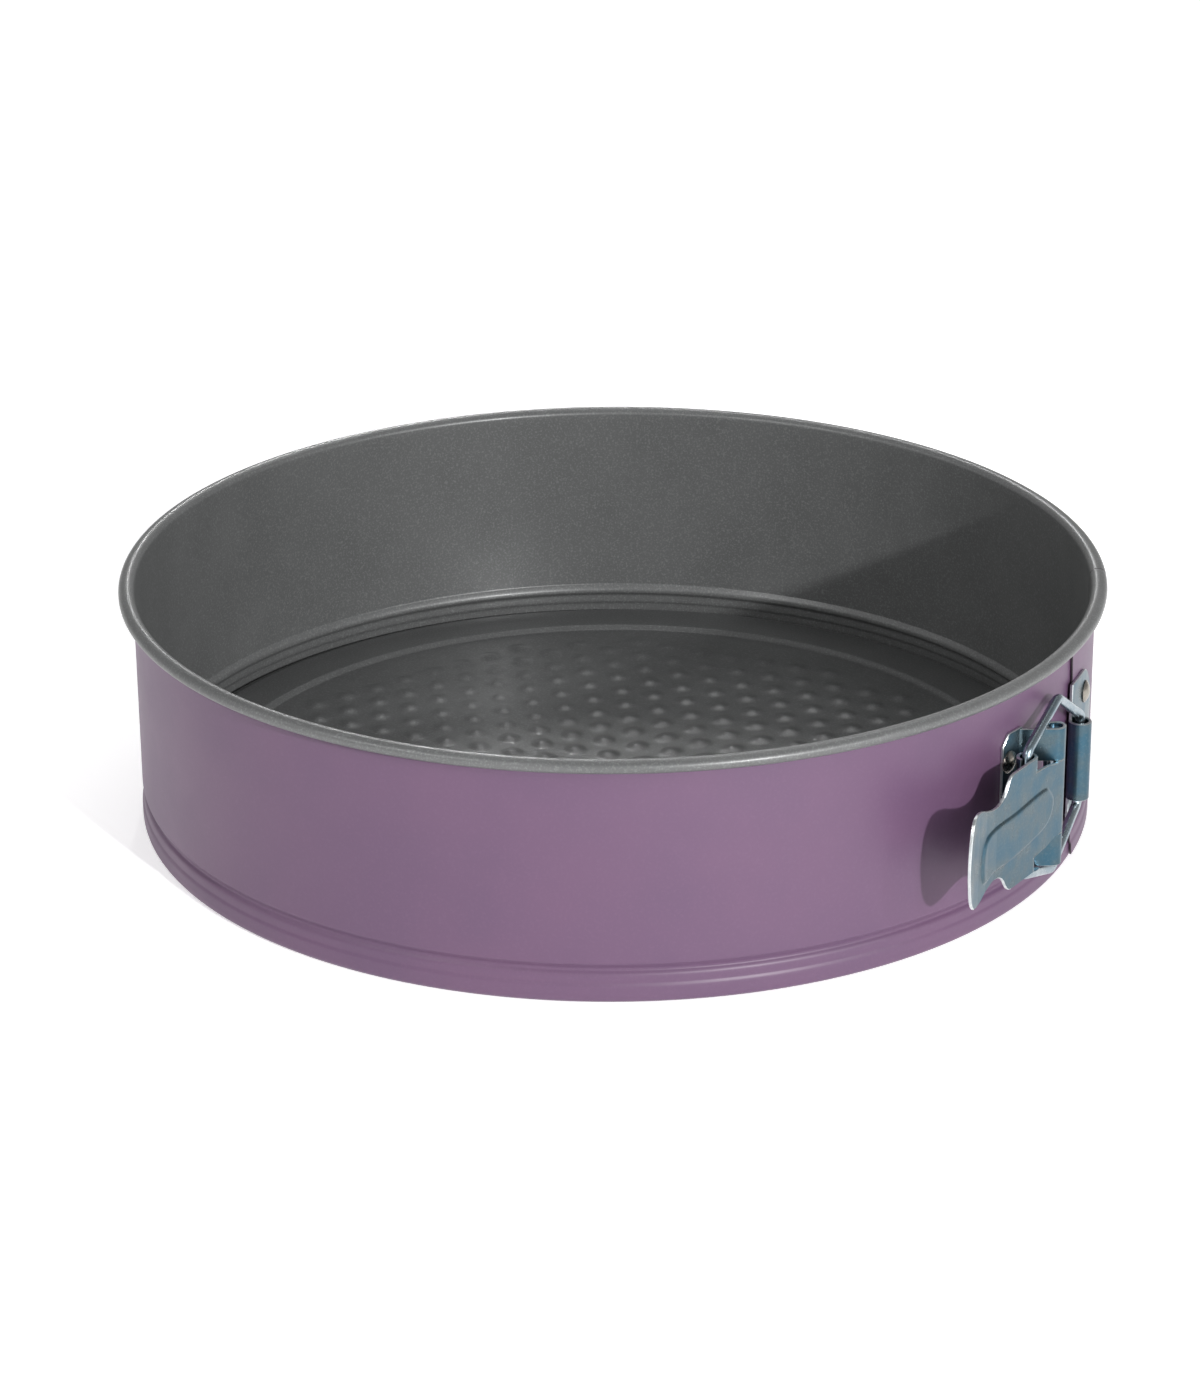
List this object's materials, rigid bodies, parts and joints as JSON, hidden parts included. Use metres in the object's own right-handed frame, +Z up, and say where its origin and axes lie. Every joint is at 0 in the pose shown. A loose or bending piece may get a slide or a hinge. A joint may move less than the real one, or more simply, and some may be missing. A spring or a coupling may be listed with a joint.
{
  "type": "springform pan",
  "caption": "Round springform cake pan with rolled rim, lever clasp with wire bail, and loose base plate with raised ring.",
  "frame": {"origin": "centre of the ring at the plane the pan rests on", "axes": "+Z up along the ring's axis; +X out through the clasp's lever hinge; +Y towards the catch side of the clasp"},
  "size_m": [0.2775, 0.2688, 0.0676],
  "materials": {
    "enamel_steel": "gloss",
    "nonstick_steel": "satin",
    "zinc_steel": "satin",
    "rivet_steel": "satin"
  },
  "bodies": {
    "ring_left": {"band_left": "enamel_steel", "lever_bracket": "zinc_steel", "lever_pin": "zinc_steel", "bracket_rivet_upper": "rivet_steel", "bracket_rivet_lower": "rivet_steel"},
    "ring_right": {"band_right": "enamel_steel", "catch_plate": "zinc_steel", "catch_rivet_upper": "rivet_steel", "catch_rivet_lower": "rivet_steel"},
    "base": {"base_plate": "nonstick_steel"},
    "lever": {"lever": "zinc_steel"},
    "bail": {"bail": "zinc_steel"}
  },
  "joints": [
    {"name": "lever_hinge", "type": "hinge", "parent": "ring_left", "child": "lever", "pos_m": [0.1374, 0, 0.033], "axis": [0, 0, 1], "range_deg": [0, 165]},
    {"name": "bail_hinge", "type": "hinge", "parent": "lever", "child": "bail", "pos_m": [0.1374, -0.015, 0.033], "axis": [0, 0, 1], "range_deg": [-153.2, 0]},
    {"name": "band_flex", "type": "hinge", "parent": "ring_left", "child": "ring_right", "pos_m": [-0.1346, 0, 0.033], "axis": [0, 0, 1], "range_deg": [0, 5.97]},
    {"name": "base_lift", "type": "slide", "parent": "ring_left", "child": "base", "axis": [0, 0, 1], "range_m": [0, 0.075]}
  ],
  "couplings": [
    {"joint": "bail_hinge", "follows": "lever_hinge", "ratio": -0.92848},
    {"joint": "band_flex", "follows": "lever_hinge", "ratio": 0.036189}
  ]
}
